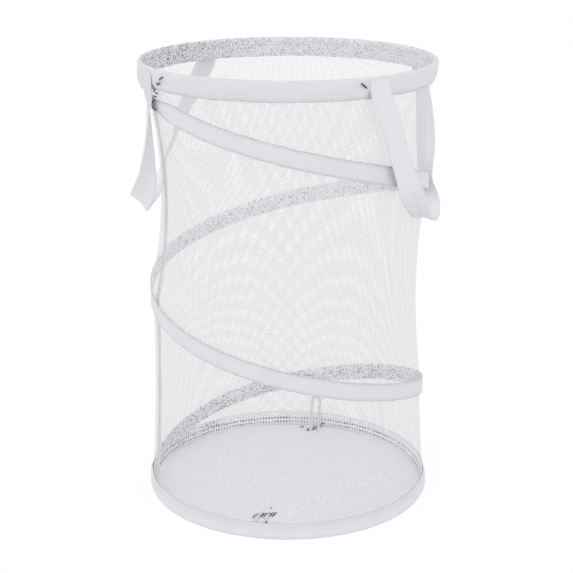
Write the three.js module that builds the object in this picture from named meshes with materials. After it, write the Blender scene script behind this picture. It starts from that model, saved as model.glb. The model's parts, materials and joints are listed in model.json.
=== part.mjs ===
// Pop up laundry hamper, in millimetres, +Z up, centred on the Z axis, standing on z = 0.
// Two wire hoops and a spiral wire in sewn cloth sleeves hold a net wall open.
// Two webbing handles hang from the rim, and two elastic loops inside tie the folded hamper shut.
// Front is -Y and the handles are on +X and -X.

import * as THREE from 'three';

// Overall sizes
const HAMPER_RADIUS = 180;
const HAMPER_HEIGHT = 552;
const CLEARANCE = 0.3;

// Facets
const RING_STEPS = 60;
const WIRE_SIDES = 6;
const FOLD_STEPS = 4;
const WALL_ROWS = 22;
const STRAP_STEPS = 36;

// Cloth tape that is folded over the hoops and sewn round the spiral wire
const TAPE_THICKNESS = 0.8;
const RIM_SLEEVE_HEIGHT = 24.5;
const BASE_SLEEVE_HEIGHT = 20;
const SLEEVE_MOUTH_DEPTH = 10;

// Hoop wires and the ferrules that join their ends
const HOOP_WIRE_DIAMETER = 3;
const HOOP_END_GAP = 1.5;
const HOOP_JOINT_ANGLE = Math.PI / 2;
const FERRULE_WALL = 0.35;
const FERRULE_LENGTH = 16;

// Net wall, drawn in between the wires
const NET_THICKNESS = 0.8;
const LOW_WAIST_SHARE = 0.01;
const HIGH_WAIST_SHARE = 0.042;
const WAIST_RISE_SHARES = [0.28, 0.6];
const MOUTH_LEDGE = 2;

// Spiral wire, its sleeve and the plastic tips on its ends
const SPIRAL_WIRE_DIAMETER = 2.2;
const SPIRAL_INSET = 6.5;
const SPIRAL_END_INSET = 2;
const SPIRAL_START_ANGLE = THREE.MathUtils.degToRad(222);
const SPIRAL_TURNS = 1.8;
const SPIRAL_EDGE_GAP = 4;
const SPIRAL_BLEND_ANGLE = THREE.MathUtils.degToRad(48);
const SPIRAL_TAPE_WIDTH = 22;
const SPIRAL_POCKET_WIDTH = 11;
const WIRE_OVERHANG = 9;
const TIP_WALL = 0.45;
const TIP_LENGTH = 9.5;

// Side seam, where the two ends of the net are bound together
const SEAM_ANGLE = THREE.MathUtils.degToRad(212);
const SEAM_WIDTH = 14;
const SEAM_THICKNESS = 0.8;

// Floor panel
const PANEL_THICKNESS = 1;

// Handles
const STRAP_WIDTH = 28;
const STRAP_THICKNESS = 1.8;
const HANDLE_SPREAD_ANGLE = THREE.MathUtils.degToRad(40);
const HANDLE_DROP = 160;
const HANDLE_STAND_OFF = 10;
const HANDLE_TILT_ANGLE = THREE.MathUtils.degToRad(50);
const HANDLE_END_HEIGHT = 21;
const HANDLE_END_STEPS = 4;
// Each row gives the shares of the spread angle, the drop, the stand-off and the twist
const HANDLE_PATH_SHARES = [
  [1, 0, 0, 0],
  [1, 0.08, 0, 0],
  [0.93, 0.22, 0.08, 0.08],
  [0.83, 0.48, 0.3, 0.3],
  [0.72, 0.68, 0.55, 0.55],
  [0.53, 0.86, 0.85, 0.8],
  [0.27, 0.97, 1, 0.95],
];

// Elastic closure loops on the floor panel
const LOOP_LENGTH = 50;
const LOOP_STRAND_WIDTH = 4;
const LOOP_GAP = 7;
const LOOP_THICKNESS = 1.2;
const LOOP_FOOT_LENGTH = 8;
const LOOP_END_WIDTH = 20;
const LOOP_END_DEPTH = 8;
const LOOP_END_THICKNESS = 1;
const FRONT_LOOP_INSET = 62;
const BACK_LOOP_INSET = 30;
const BACK_LOOP_LEAN_ANGLE = THREE.MathUtils.degToRad(75);
const LOOP_CURVE_STEPS = 8;

// Sizes that follow from the ones above
const STEP_ANGLE = 2 * Math.PI / RING_STEPS;
const FOLD_INNER = HOOP_WIRE_DIAMETER / 2 + FERRULE_WALL + 2 * CLEARANCE;
const FOLD_OUTER = FOLD_INNER + TAPE_THICKNESS;
const HOOP_RADIUS = HAMPER_RADIUS - FOLD_OUTER;
const NET_EDGE_RADIUS = HAMPER_RADIUS - TAPE_THICKNESS - CLEARANCE - NET_THICKNESS / 2;
const RIM_LOWER_EDGE = HAMPER_HEIGHT - RIM_SLEEVE_HEIGHT;
const NET_TOP = RIM_LOWER_EDGE + SLEEVE_MOUTH_DEPTH - CLEARANCE;
const NET_BOTTOM = BASE_SLEEVE_HEIGHT - SLEEVE_MOUTH_DEPTH + CLEARANCE;
const POCKET_RADIUS = SPIRAL_WIRE_DIAMETER / 2 + CLEARANCE;
const SPIRAL_THICKNESS = 2 * (POCKET_RADIUS + TAPE_THICKNESS);
const WALL_BEHIND_SPIRAL = SPIRAL_THICKNESS + CLEARANCE + NET_THICKNESS / 2;
const SPIRAL_OUTER_RADIUS = HAMPER_RADIUS - SPIRAL_INSET;
const SPIRAL_END_RADIUS = HAMPER_RADIUS - SPIRAL_END_INSET;
const FRONT_LOOP_RADIUS = HAMPER_RADIUS - FRONT_LOOP_INSET;
const BACK_LOOP_RADIUS = HAMPER_RADIUS - BACK_LOOP_INSET;

// Materials, one for each mesh, so that each can be changed by itself
const CLOTH_COLOUR = 0xdfdfe6;
const PANEL_COLOUR = 0xdbdbe1;
const NET_COLOUR = 0xf0f0f0;
const WEBBING_COLOUR = 0xe0e2e8;
const STEEL_COLOUR = 0xb8bcc2;
const TIP_COLOUR = 0xe9e9ec;
const cloth = () => new THREE.MeshStandardMaterial({ color: CLOTH_COLOUR, roughness: 0.85, metalness: 0 });
const panelCloth = () => new THREE.MeshStandardMaterial({ color: PANEL_COLOUR, roughness: 0.8, metalness: 0 });
const net = () => new THREE.MeshStandardMaterial({ color: NET_COLOUR, roughness: 0.7, metalness: 0 });
const webbing = () => new THREE.MeshStandardMaterial({ color: WEBBING_COLOUR, roughness: 0.85, metalness: 0 });
const steel = () => new THREE.MeshStandardMaterial({ color: STEEL_COLOUR, roughness: 0.35, metalness: 1 });
const tipPlastic = () => new THREE.MeshStandardMaterial({ color: TIP_COLOUR, roughness: 0.5, metalness: 0 });

const hamper = new THREE.Group();
hamper.name = 'pop_up_laundry_hamper';

// Adds one named piece to the hamper
function addPiece(name, geometry, material) {
  const piece = new THREE.Mesh(geometry, material);
  piece.name = name;
  hamper.add(piece);
  return piece;
}

// Unit vector that points away from the axis at an angle
function radial(angle) {
  return new THREE.Vector3(Math.cos(angle), Math.sin(angle), 0);
}

// Unit vector along the ring at an angle
function tangential(angle) {
  return new THREE.Vector3(-Math.sin(angle), Math.cos(angle), 0);
}

// Point at a distance from the axis, an angle and a height
function ringPoint(radius, angle, height) {
  return radial(angle).multiplyScalar(radius).setZ(height);
}

// Radius of a ring's facets at an angle, where the ring has its corners on the given radius
function facetRadius(radius, angle) {
  const half = STEP_ANGLE / 2;
  const along = THREE.MathUtils.euclideanModulo(angle, STEP_ANGLE) - half;
  return radius * Math.cos(half) / Math.cos(along);
}

// Evenly spaced values from one to another, both included
function spread(from, to, steps) {
  return Array.from({ length: steps + 1 }, (_, i) => THREE.MathUtils.lerp(from, to, i / steps));
}

// Signed volume of a triangle mesh
function signedVolume(points, faces) {
  let volume = 0;
  for (const [a, b, c] of faces) {
    volume += points[a].dot(points[b].clone().cross(points[c])) / 6;
  }
  return volume;
}

// Turns points and faces into a geometry whose faces look outward
function closedGeometry(points, faces) {
  const outward = signedVolume(points, faces) > 0;
  const index = faces.flatMap(([a, b, c]) => (outward ? [a, b, c] : [a, c, b]));
  const geometry = new THREE.BufferGeometry().setFromPoints(points);
  geometry.setIndex(index);
  geometry.computeVertexNormals();
  return geometry;
}

// Sweeps a flat section, with or without a hole, through a row of frames
// A frame has an origin and the directions of the section's x and y
function sweep(section, frames) {
  const { outline, hole = [] } = section;
  const corners = [...outline, ...hole];
  const points = frames.flatMap(({ origin, x, y }) => corners.map(
    (corner) => origin.clone().addScaledVector(x, corner.x).addScaledVector(y, corner.y)));
  const faces = [];
  const last = (frames.length - 1) * corners.length;
  for (let here = 0; here < last; here += corners.length) {
    const next = here + corners.length;
    addBand(faces, here, next, 0, outline.length, false);
    addBand(faces, here, next, outline.length, hole.length, true);
  }
  for (const [a, b, c] of THREE.ShapeUtils.triangulateShape(outline, hole.length ? [hole] : [])) {
    faces.push([c, b, a], [last + a, last + b, last + c]);
  }
  return closedGeometry(points, faces);
}

// Adds the faces between two loops of a sweep
function addBand(faces, here, next, first, count, inner) {
  for (let j = 0; j < count; j += 1) {
    const a = first + j;
    const b = first + (j + 1) % count;
    const quad = [here + a, here + b, next + b, next + a];
    const [p, q, r, s] = inner ? quad.reverse() : quad;
    faces.push([p, q, r], [p, r, s]);
  }
}

// Section of a round wire, counter-clockwise
function roundOutline(radius, sides = WIRE_SIDES) {
  return Array.from({ length: sides }, (_, i) => {
    const turn = 2 * Math.PI * i / sides;
    return new THREE.Vector2(radius * Math.cos(turn), radius * Math.sin(turn));
  });
}

// Section of a flat strip
function stripOutline(width, thickness) {
  return [
    new THREE.Vector2(-width / 2, -thickness / 2),
    new THREE.Vector2(width / 2, -thickness / 2),
    new THREE.Vector2(width / 2, thickness / 2),
    new THREE.Vector2(-width / 2, thickness / 2),
  ];
}

// Revolves a profile of radius and height about the Z axis, with its faces outward
function revolve(profile) {
  const outward = THREE.ShapeUtils.area(profile) > 0 ? profile : [...profile].reverse();
  const geometry = new THREE.LatheGeometry(outward, RING_STEPS);
  geometry.rotateX(Math.PI / 2);
  return geometry;
}

// Profile of a tape folded over a hoop, as radius and distance from the folded edge
// The outer leg stands straight, and the inner leg leans out to the net that both are sewn to
function foldedSleeveProfile(height, place) {
  const innerFace = NET_EDGE_RADIUS - NET_THICKNESS / 2 - CLEARANCE - TAPE_THICKNESS;
  const mouth = height - SLEEVE_MOUTH_DEPTH;
  const fold = (radius, turn) => [
    HOOP_RADIUS + radius * Math.cos(turn), FOLD_OUTER - radius * Math.sin(turn)];
  const outerFold = spread(0, Math.PI, 2 * FOLD_STEPS).map((turn) => fold(FOLD_OUTER, turn));
  const innerFold = spread(Math.PI, 0, FOLD_STEPS).map((turn) => fold(FOLD_INNER, turn));
  const loop = [
    [HAMPER_RADIUS, height],
    ...outerFold,
    [innerFace, mouth],
    [innerFace, height],
    [innerFace + TAPE_THICKNESS, height],
    [innerFace + TAPE_THICKNESS, mouth],
    ...innerFold,
    [HAMPER_RADIUS - TAPE_THICKNESS, height],
    [HAMPER_RADIUS, height],
  ];
  return loop.map(([radius, distance]) => new THREE.Vector2(radius, place(distance)));
}

function addSleeves() {
  const rim = foldedSleeveProfile(RIM_SLEEVE_HEIGHT, (distance) => HAMPER_HEIGHT - distance);
  const base = foldedSleeveProfile(BASE_SLEEVE_HEIGHT, (distance) => distance);
  addPiece('rim_sleeve', revolve(rim), cloth());
  addPiece('base_sleeve', revolve(base), cloth());
}

// Frames round part of a hoop, with the section's x pointing away from the axis
function hoopFrames(from, to, height) {
  const whole = Math.ceil(from / STEP_ANGLE);
  const corners = Array.from({ length: RING_STEPS }, (_, i) => (whole + i) * STEP_ANGLE);
  const inside = corners.filter((angle) => angle > from && angle < to);
  return [from, ...inside, to].map((angle) => ({
    origin: ringPoint(facetRadius(HOOP_RADIUS, angle), angle, height),
    x: radial(angle),
    y: new THREE.Vector3(0, 0, 1),
  }));
}

// A hoop is one wire, bent round until its ends meet inside a crimped ferrule
function addHoop(name, height) {
  const gap = HOOP_END_GAP / HOOP_RADIUS / 2;
  const start = HOOP_JOINT_ANGLE + gap;
  const wire = { outline: roundOutline(HOOP_WIRE_DIAMETER / 2) };
  addPiece(`${name}_hoop`, sweep(wire, hoopFrames(start, start + 2 * Math.PI - 2 * gap, height)), steel());
  const bore = HOOP_WIRE_DIAMETER / 2 + CLEARANCE;
  const ferrule = {
    outline: roundOutline(bore + FERRULE_WALL, 2 * WIRE_SIDES),
    hole: roundOutline(bore, 2 * WIRE_SIDES),
  };
  const reach = FERRULE_LENGTH / HOOP_RADIUS / 2;
  const frames = hoopFrames(HOOP_JOINT_ANGLE - reach, HOOP_JOINT_ANGLE + reach, height);
  addPiece(`${name}_hoop_ferrule`, sweep(ferrule, frames), steel());
}

// The spiral falls as its angle grows, from under the rim sleeve to just above the base sleeve
const spiralTravel = 2 * Math.PI * SPIRAL_TURNS;
const spiralHalfFlat = SPIRAL_TAPE_WIDTH / 2 + SPIRAL_EDGE_GAP;
const spiralRoughFall = RIM_LOWER_EDGE - BASE_SLEEVE_HEIGHT - 2 * spiralHalfFlat;
const spiralSlope = Math.atan(spiralRoughFall / spiralTravel / SPIRAL_OUTER_RADIUS);
const spiralHalfHeight = SPIRAL_TAPE_WIDTH / 2 / Math.cos(spiralSlope);
const spiralTop = RIM_LOWER_EDGE - SPIRAL_EDGE_GAP - spiralHalfHeight;
const spiralBottom = BASE_SLEEVE_HEIGHT + SPIRAL_EDGE_GAP + spiralHalfHeight;

function spiralHeight(travel) {
  return THREE.MathUtils.lerp(spiralTop, spiralBottom, travel / spiralTravel);
}

// The sleeve swings out to the hoops over its first and last stretch
function spiralRadius(travel) {
  const fromEnd = Math.max(0, Math.min(travel, spiralTravel - travel));
  const settled = THREE.MathUtils.smoothstep(fromEnd, 0, SPIRAL_BLEND_ANGLE);
  return THREE.MathUtils.lerp(SPIRAL_END_RADIUS, SPIRAL_OUTER_RADIUS, settled);
}

// Travels along the spiral at one angle, one for each turn that passes it, and one facet past its ends
function travelsAt(angle) {
  const first = THREE.MathUtils.euclideanModulo(angle - SPIRAL_START_ANGLE, 2 * Math.PI);
  const reach = STEP_ANGLE * (1 + 1 / RING_STEPS);
  return spread(-1, Math.ceil(SPIRAL_TURNS), Math.ceil(SPIRAL_TURNS) + 1)
    .map((turn) => first + 2 * Math.PI * turn)
    .filter((travel) => travel >= -reach && travel <= spiralTravel + reach);
}

// Section of the spiral sleeve: two tapes sewn flat at the edges, with a pocket for the wire
// Its x runs up the wall and its y away from the axis, from the sleeve's outermost line
function spiralSleeveSection() {
  const edge = SPIRAL_TAPE_WIDTH / 2;
  const shoulder = SPIRAL_POCKET_WIDTH / 2;
  const crown = POCKET_RADIUS;
  const back = -SPIRAL_THICKNESS;
  const hem = back + 2 * TAPE_THICKNESS;
  const corner = (x, y) => new THREE.Vector2(x, y);
  return {
    outline: [
      corner(-edge, back), corner(edge, back), corner(edge, hem), corner(shoulder, hem),
      corner(crown, 0), corner(-crown, 0), corner(-shoulder, hem), corner(-edge, hem),
    ],
    hole: [
      corner(-shoulder + TAPE_THICKNESS, back + TAPE_THICKNESS),
      corner(shoulder - TAPE_THICKNESS, back + TAPE_THICKNESS),
      corner(crown, -TAPE_THICKNESS),
      corner(-crown, -TAPE_THICKNESS),
    ],
  };
}

function spiralFrames(from, to, depth, stretch) {
  const steps = Math.max(1, Math.round((to - from) / STEP_ANGLE));
  return spread(from, to, steps).map((travel) => {
    const angle = SPIRAL_START_ANGLE + travel;
    return {
      origin: ringPoint(spiralRadius(travel) - depth, angle, spiralHeight(travel)),
      x: new THREE.Vector3(0, 0, stretch),
      y: radial(angle),
    };
  });
}

function addSpiral() {
  const stretch = spiralHalfHeight / (SPIRAL_TAPE_WIDTH / 2);
  const sleeve = sweep(spiralSleeveSection(), spiralFrames(0, spiralTravel, 0, stretch));
  addPiece('spiral_sleeve', sleeve, cloth());
  const depth = SPIRAL_THICKNESS / 2;
  const overhang = WIRE_OVERHANG / SPIRAL_END_RADIUS;
  const wire = { outline: roundOutline(SPIRAL_WIRE_DIAMETER / 2) };
  const inner = spiralFrames(0, spiralTravel, depth, 1);
  const [first] = spiralFrames(-overhang, 0, depth, 1);
  const last = spiralFrames(spiralTravel, spiralTravel + overhang, depth, 1).at(-1);
  addPiece('spiral_wire', sweep(wire, [first, ...inner, last]), steel());
  addTip('spiral_wire_top_tip', inner[0].origin, first.origin);
  addTip('spiral_wire_bottom_tip', inner.at(-1).origin, last.origin);
}

// A moulded cap pushed over a cut wire end, so that it can't pierce the cloth
function addTip(name, root, end) {
  const bore = SPIRAL_WIRE_DIAMETER / 2 + CLEARANCE;
  const outer = bore + TIP_WALL;
  const profile = [
    new THREE.Vector2(0, 0),
    new THREE.Vector2(outer - TIP_WALL, 0),
    new THREE.Vector2(outer, TIP_WALL),
    new THREE.Vector2(outer, TIP_LENGTH),
    new THREE.Vector2(bore, TIP_LENGTH),
    new THREE.Vector2(bore, TIP_WALL),
    new THREE.Vector2(0, TIP_WALL),
  ];
  const tip = addPiece(name, new THREE.LatheGeometry(profile, 2 * WIRE_SIDES), tipPlastic());
  const inward = root.clone().sub(end).normalize();
  tip.position.copy(end).addScaledVector(inward, -TIP_WALL - CLEARANCE);
  tip.quaternion.setFromUnitVectors(new THREE.Vector3(0, 1, 0), inward);
}

// Heights where the wall is held, with its radius there, from the base to the rim
function wallHolds(angle) {
  const bands = travelsAt(angle).reverse().map((travel) => ({
    low: spiralHeight(travel) - spiralHalfHeight,
    high: spiralHeight(travel) + spiralHalfHeight,
    radius: spiralRadius(travel) - WALL_BEHIND_SPIRAL,
  }));
  const base = { low: NET_BOTTOM, high: BASE_SLEEVE_HEIGHT, radius: NET_EDGE_RADIUS };
  const rim = { low: RIM_LOWER_EDGE, high: NET_TOP, radius: NET_EDGE_RADIUS };
  return [base, ...bands, rim];
}

// How far the net is drawn in between two holds, as a share of their distance: little low down
function waistShare(middle) {
  const rise = THREE.MathUtils.smoothstep(middle / HAMPER_HEIGHT, ...WAIST_RISE_SHARES);
  return THREE.MathUtils.lerp(LOW_WAIST_SHARE, HIGH_WAIST_SHARE, rise);
}

// Middle radius of the net wall: flat behind the sleeves and drawn in between them
function wallRadius(angle, height, rowGap) {
  const holds = wallHolds(angle);
  let radius = NET_EDGE_RADIUS;
  for (let i = 0; i + 1 < holds.length; i += 1) {
    const { high: from, radius: lower } = holds[i];
    const { low: to, radius: upper } = holds[i + 1];
    if (height >= from && height <= to) {
      const share = (height - from) / (to - from);
      const waist = waistShare((from + to) / 2) * (to - from) * 4 * share * (1 - share);
      radius = THREE.MathUtils.lerp(lower, upper, share) - waist;
    }
  }
  const inSleeve = height <= BASE_SLEEVE_HEIGHT || height >= RIM_LOWER_EDGE;
  const bands = inSleeve ? [] : holds.slice(1, -1);
  for (const band of bands) {
    if (height > band.low - rowGap && height < band.high + rowGap) {
      radius = Math.min(radius, band.radius);
    }
  }
  return radius;
}

const wallRows = [
  NET_BOTTOM,
  BASE_SLEEVE_HEIGHT,
  ...spread(BASE_SLEEVE_HEIGHT + MOUTH_LEDGE, RIM_LOWER_EDGE - MOUTH_LEDGE, WALL_ROWS),
  RIM_LOWER_EDGE,
  NET_TOP,
];
const wallRowGap = (RIM_LOWER_EDGE - BASE_SLEEVE_HEIGHT - 2 * MOUTH_LEDGE) / WALL_ROWS;

function addWall() {
  const outside = NET_EDGE_RADIUS + NET_THICKNESS / 2;
  const inside = outside - NET_THICKNESS;
  const profile = [
    ...wallRows.map((height) => new THREE.Vector2(outside, height)),
    ...[...wallRows].reverse().map((height) => new THREE.Vector2(inside, height)),
    new THREE.Vector2(outside, NET_BOTTOM),
  ];
  const wall = revolve(profile);
  const position = wall.getAttribute('position');
  for (let i = 0; i < position.count; i += 1) {
    const point = new THREE.Vector3().fromBufferAttribute(position, i);
    const angle = Math.atan2(point.y, point.x);
    const offset = Math.hypot(point.x, point.y) > NET_EDGE_RADIUS ? NET_THICKNESS / 2 : -NET_THICKNESS / 2;
    const moved = ringPoint(wallRadius(angle, point.z, wallRowGap) + offset, angle, point.z);
    position.setXYZ(i, moved.x, moved.y, moved.z);
  }
  wall.computeVertexNormals();
  addPiece('mesh_wall', wall, net());
}

// The binding of the side seam runs up the inside of the wall, between the sleeves
function addSeam() {
  const strip = { outline: stripOutline(SEAM_WIDTH, SEAM_THICKNESS) };
  const behind = NET_THICKNESS / 2 + CLEARANCE + SEAM_THICKNESS / 2;
  const rows = wallRows.filter((height) => height > BASE_SLEEVE_HEIGHT && height < RIM_LOWER_EDGE);
  const frames = rows.map((height) => ({
    origin: ringPoint(seamRadius(height) - behind, SEAM_ANGLE, height),
    x: tangential(SEAM_ANGLE),
    y: radial(SEAM_ANGLE),
  }));
  addPiece('side_seam_tape', sweep(strip, frames), cloth());
}

// Least radius of the wall across the seam's width
function seamRadius(height) {
  const reach = SEAM_WIDTH / 2 / SPIRAL_OUTER_RADIUS;
  const radii = [-STEP_ANGLE, 0, STEP_ANGLE].map((turn) => wallRadius(SEAM_ANGLE + turn, height, wallRowGap));
  return Math.min(...radii) * Math.cos(reach);
}

// The floor panel lies flat inside the folded edge of the base sleeve
function addPanel() {
  const rise = FOLD_OUTER - PANEL_THICKNESS;
  const foldReach = Math.sqrt((FOLD_OUTER + CLEARANCE) ** 2 - rise ** 2);
  const edge = HOOP_RADIUS - foldReach;
  const profile = [
    new THREE.Vector2(0, 0),
    new THREE.Vector2(edge, 0),
    new THREE.Vector2(edge, PANEL_THICKNESS),
    new THREE.Vector2(0, PANEL_THICKNESS),
  ];
  addPiece('base_panel', revolve(profile), panelCloth());
}

// Sewn end of a handle: the webbing lies flat on the outside of the rim sleeve
function handleEndGeometry(angle) {
  const strip = { outline: stripOutline(HANDLE_END_HEIGHT, STRAP_THICKNESS) };
  const radius = HAMPER_RADIUS + CLEARANCE + STRAP_THICKNESS / 2;
  const reach = STRAP_WIDTH / 2 / radius;
  const middle = RIM_LOWER_EDGE + CLEARANCE + HANDLE_END_HEIGHT / 2;
  const frames = spread(angle - reach, angle + reach, HANDLE_END_STEPS).map((turn) => ({
    origin: ringPoint(radius, turn, middle),
    x: new THREE.Vector3(0, 0, 1),
    y: radial(turn),
  }));
  return sweep(strip, frames);
}

// Loose part of a handle: it hangs from its two ends and twists outward to a U at the bottom
function handleStrapGeometry() {
  const topRadius = HAMPER_RADIUS + 2 * CLEARANCE + STRAP_THICKNESS / 2;
  const tilted = new THREE.Vector3(Math.cos(HANDLE_TILT_ANGLE), 0, Math.sin(HANDLE_TILT_ANGLE));
  const stops = [-1, 1].flatMap((side) => {
    const half = HANDLE_PATH_SHARES.map(([angleShare, dropShare, outShare, twistShare]) => {
      const angle = side * HANDLE_SPREAD_ANGLE * angleShare;
      const radius = topRadius + HANDLE_STAND_OFF * outShare;
      const flat = tangential(angle).multiplyScalar(-side);
      return {
        place: ringPoint(radius, angle, RIM_LOWER_EDGE - CLEARANCE - HANDLE_DROP * dropShare),
        edge: flat.lerp(tilted, twistShare),
      };
    });
    return side < 0 ? half : half.reverse();
  });
  const bottom = {
    place: ringPoint(topRadius + HANDLE_STAND_OFF, 0, RIM_LOWER_EDGE - CLEARANCE - HANDLE_DROP),
    edge: tilted,
  };
  stops.splice(HANDLE_PATH_SHARES.length, 0, bottom);
  const path = new THREE.CatmullRomCurve3(stops.map((stop) => stop.place));
  const edges = new THREE.CatmullRomCurve3(stops.map((stop) => stop.edge));
  const frames = spread(0, 1, STRAP_STEPS).map((along) => {
    const ahead = path.getTangent(along);
    const across = edges.getPoint(along);
    across.addScaledVector(ahead, -across.dot(ahead)).normalize();
    return { origin: path.getPoint(along), x: across, y: ahead.clone().cross(across) };
  });
  return sweep({ outline: stripOutline(STRAP_WIDTH, STRAP_THICKNESS) }, frames);
}

function addHandles() {
  for (const [name, turn] of [['right', 0], ['left', Math.PI]]) {
    for (const side of [-1, 1]) {
      const place = (side < 0) === (turn === 0) ? 'front' : 'back';
      const end = addPiece(`${name}_handle_${place}_end`, handleEndGeometry(side * HANDLE_SPREAD_ANGLE), webbing());
      end.rotation.z = turn;
    }
    const strap = addPiece(`${name}_handle_strap`, handleStrapGeometry(), webbing());
    strap.rotation.z = turn;
  }
}

// Elastic loop, flat in the XY plane, with its foot on the origin and its round end on +X
function loopGeometry() {
  const half = LOOP_GAP / 2 + LOOP_STRAND_WIDTH;
  const reach = LOOP_LENGTH - half;
  const outline = new THREE.Shape();
  outline.moveTo(0, -half);
  outline.lineTo(reach, -half);
  outline.absarc(reach, 0, half, -Math.PI / 2, Math.PI / 2);
  outline.lineTo(0, half);
  outline.closePath();
  const gap = new THREE.Path();
  gap.moveTo(LOOP_FOOT_LENGTH, -LOOP_GAP / 2);
  gap.lineTo(LOOP_FOOT_LENGTH, LOOP_GAP / 2);
  gap.lineTo(reach, LOOP_GAP / 2);
  gap.absarc(reach, 0, LOOP_GAP / 2, Math.PI / 2, -Math.PI / 2, true);
  gap.closePath();
  outline.holes.push(gap);
  const geometry = new THREE.ExtrudeGeometry(outline, {
    depth: LOOP_THICKNESS, bevelEnabled: false, curveSegments: LOOP_CURVE_STEPS,
  });
  geometry.translate(0, 0, -LOOP_THICKNESS / 2);
  return geometry;
}

// Sewn end of an elastic loop: a folded patch that is tacked to the floor panel
function loopEndGeometry() {
  const patch = new THREE.BoxGeometry(LOOP_END_WIDTH, LOOP_END_DEPTH, LOOP_END_THICKNESS);
  patch.translate(0, 0, PANEL_THICKNESS + CLEARANCE + LOOP_END_THICKNESS / 2);
  return patch;
}

function addClosureLoops() {
  const hingeHeight = PANEL_THICKNESS + LOOP_END_THICKNESS + 2 * CLEARANCE + LOOP_THICKNESS / 2;
  const places = [
    { name: 'front', y: -FRONT_LOOP_RADIUS, turn: -Math.PI / 2, lean: 0 },
    { name: 'back', y: BACK_LOOP_RADIUS, turn: Math.PI / 2, lean: BACK_LOOP_LEAN_ANGLE },
  ];
  for (const { name, y, turn, lean } of places) {
    const end = addPiece(`${name}_closure_loop_end`, loopEndGeometry(), cloth());
    end.position.set(0, y, 0);
    const loop = addPiece(`${name}_closure_loop`, loopGeometry(), webbing());
    loop.position.set(0, y, hingeHeight);
    loop.rotation.set(0, -lean, turn, 'ZYX');
  }
}

addHoop('rim', HAMPER_HEIGHT - FOLD_OUTER);
addHoop('base', FOLD_OUTER);
addSleeves();
addPanel();
addWall();
addSeam();
addSpiral();
addHandles();
addClosureLoops();

export default hamper;
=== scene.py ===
import json
import math
from contextlib import contextmanager

import bpy
import numpy as np
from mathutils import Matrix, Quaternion, Vector


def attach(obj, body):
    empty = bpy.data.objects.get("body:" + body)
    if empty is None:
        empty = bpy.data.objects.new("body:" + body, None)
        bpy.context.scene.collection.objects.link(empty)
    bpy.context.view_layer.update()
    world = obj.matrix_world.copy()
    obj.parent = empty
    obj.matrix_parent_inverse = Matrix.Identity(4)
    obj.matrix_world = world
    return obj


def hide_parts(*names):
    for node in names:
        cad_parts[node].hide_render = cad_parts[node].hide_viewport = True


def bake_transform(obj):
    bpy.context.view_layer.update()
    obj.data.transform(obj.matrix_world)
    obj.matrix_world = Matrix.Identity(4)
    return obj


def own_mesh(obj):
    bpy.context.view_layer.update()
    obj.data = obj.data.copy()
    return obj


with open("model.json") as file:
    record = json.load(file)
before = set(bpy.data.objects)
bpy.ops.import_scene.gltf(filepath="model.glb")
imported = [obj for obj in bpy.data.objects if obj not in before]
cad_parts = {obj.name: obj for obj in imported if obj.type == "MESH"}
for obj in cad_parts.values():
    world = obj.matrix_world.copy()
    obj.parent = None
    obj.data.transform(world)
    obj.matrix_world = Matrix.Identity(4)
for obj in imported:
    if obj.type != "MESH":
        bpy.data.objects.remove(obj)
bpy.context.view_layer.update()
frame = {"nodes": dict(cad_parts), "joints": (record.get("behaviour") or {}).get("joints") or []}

# Sizes of the hamper, in metres
RADIUS = 0.180
HEIGHT = 0.552

# Sleeves of the hoops: thickness of their cloth, height of their free edges, and the net's radius there
TAPE = 0.0008
RIM_EDGE = 0.5275
BASE_EDGE = 0.020
RIM_NECK = 0.1736
BASE_NECK = 0.1764

# Faces round the hamper
COLUMNS = 360

# Spiral tape: it starts a little before the wire and runs on below the wire's end as an empty tail.
# Heights are of its middle, faces are the radius of its outer side, and half is half its width.
# It widens at its start, and the wall lies behind its outer side
SPIRAL_START = math.radians(222)
SPIRAL_LEAD = math.radians(7)
SPIRAL_TRAVEL = math.radians(648)
SPIRAL_TAIL = math.radians(38)
SPIRAL_TOP = 0.5122
SPIRAL_BOTTOM = 0.0353
SPIRAL_HALF = 0.0113
SPIRAL_FACE = 0.1735
SPIRAL_TOP_FACE = 0.1741
SPIRAL_BOTTOM_FACE = 0.1772
SPIRAL_BLEND = math.radians(48)
SPIRAL_LOWEST = 0.0062
WIDENING = 0.22
WALL_BEHIND = 0.0045
WALL_BEHIND_TAIL = 0.0016

# Spiral wire: its radius, its middle's depth under the tape's outer side, and its bare ends
WIRE_RADIUS = 0.0011
WIRE_DEPTH = 0.0021
WIRE_BARE = 0.009 / 0.178
CAP_RADIUS = 0.0018
CAP_END = 0.0007

# Net, in millimetres: the holes' pitch, and the upright and slanting threads between them
NET_PITCH = 3.17
UPRIGHT_THREAD = 0.86
SLANTING_THREAD = 0.38
UPRIGHT_SHARE = UPRIGHT_THREAD / NET_PITCH / 2
SLANTING_SHARE = SLANTING_THREAD / NET_PITCH / 2

# Net, in metres: its edges, which are hidden in the sleeves, and its mean radius
NET_LOW = 0.0103
NET_HIGH = 0.5372
NET_RADIUS = 0.1705

# Side seam, and how much further the net is drawn in beside it between the upper turns:
# how far aside and how far round, in radians, and the heights over which it sets in
SEAM_ANGLE = math.radians(212)
SEAM_WIDTH = 0.014
SEAM_PULL = 0.6
PULL_ASIDE = 0.14
PULL_REACH = 0.30
PULL_HEIGHTS = (0.30, 0.38)

# Handles: their webbing, and the heights between which it comes to lie along the rim sleeve
STRAP_WIDTH = 0.028
STRAP_THICKNESS = 0.0018
STRAP_HUGS = (0.500, 0.5285)

# Points closer than this are sewn into one
SAME_POINT = 1e-6

# Thickness of a rounded rod's ends, as a share of the rod's
END_SHARE = 0.6

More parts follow.
